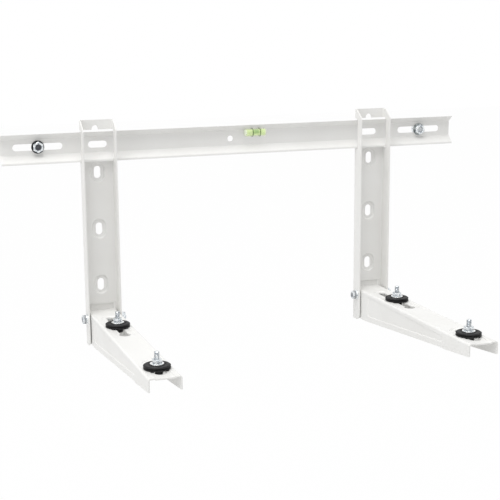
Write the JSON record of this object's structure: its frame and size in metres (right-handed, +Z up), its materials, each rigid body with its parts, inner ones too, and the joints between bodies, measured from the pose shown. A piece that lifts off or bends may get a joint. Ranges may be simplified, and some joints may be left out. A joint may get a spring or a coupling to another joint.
{
  "type": "outdoor unit wall bracket",
  "caption": "Wall bracket for an outdoor unit: slotted cross rail with a spirit level, channel uprights, tapered arms with keyhole slots, rubber mounts with studs.",
  "frame": {"origin": "middle of the rail on the wall plane, which is the back face of the rail's web", "axes": "+X along the rail, +Y into the wall, +Z up; the arms point to -Y"},
  "size_m": [0.8, 0.4095, 0.3727],
  "materials": {
    "powder_coat": "off-white satin powder coat",
    "zinc_steel": "bright zinc plate",
    "black_rubber": "matt moulded",
    "clear_tube": "clear moulded tube",
    "level_fluid": "clear yellow-green fluid",
    "level_plug": "pale plug",
    "level_mark": "dark printed ring"
  },
  "bodies": {
    "root": {"cross_rail": "powder_coat", "left_arm": "powder_coat", "left_front_mount_nut": "zinc_steel", "left_front_mount_washer": "zinc_steel", "left_front_rubber_mount": "black_rubber", "left_front_stud": "zinc_steel", "left_rail_bolt": "zinc_steel", "left_rail_nut": "zinc_steel", "left_rail_washer": "zinc_steel", "left_rear_mount_nut": "zinc_steel", "left_rear_mount_washer": "zinc_steel", "left_rear_rubber_mount": "black_rubber", "left_rear_stud": "zinc_steel", "left_side_bolt": "zinc_steel", "left_side_head_washer": "zinc_steel", "left_side_nut": "zinc_steel", "left_side_nut_washer": "zinc_steel", "left_side_spring_washer": "zinc_steel", "left_upright": "powder_coat", "level_mark_left": "level_mark", "level_mark_right": "level_mark", "level_vial_body": "clear_tube", "level_vial_fluid": "level_fluid", "level_vial_plug": "level_plug", "right_arm": "powder_coat", "right_front_mount_nut": "zinc_steel", "right_front_mount_washer": "zinc_steel", "right_front_rubber_mount": "black_rubber", "right_front_stud": "zinc_steel", "right_rail_bolt": "zinc_steel", "right_rail_nut": "zinc_steel", "right_rail_washer": "zinc_steel", "right_rear_mount_nut": "zinc_steel", "right_rear_mount_washer": "zinc_steel", "right_rear_rubber_mount": "black_rubber", "right_rear_stud": "zinc_steel", "right_side_bolt": "zinc_steel", "right_side_head_washer": "zinc_steel", "right_side_nut": "zinc_steel", "right_side_nut_washer": "zinc_steel", "right_side_spring_washer": "zinc_steel", "right_upright": "powder_coat"}
  },
  "joints": []
}
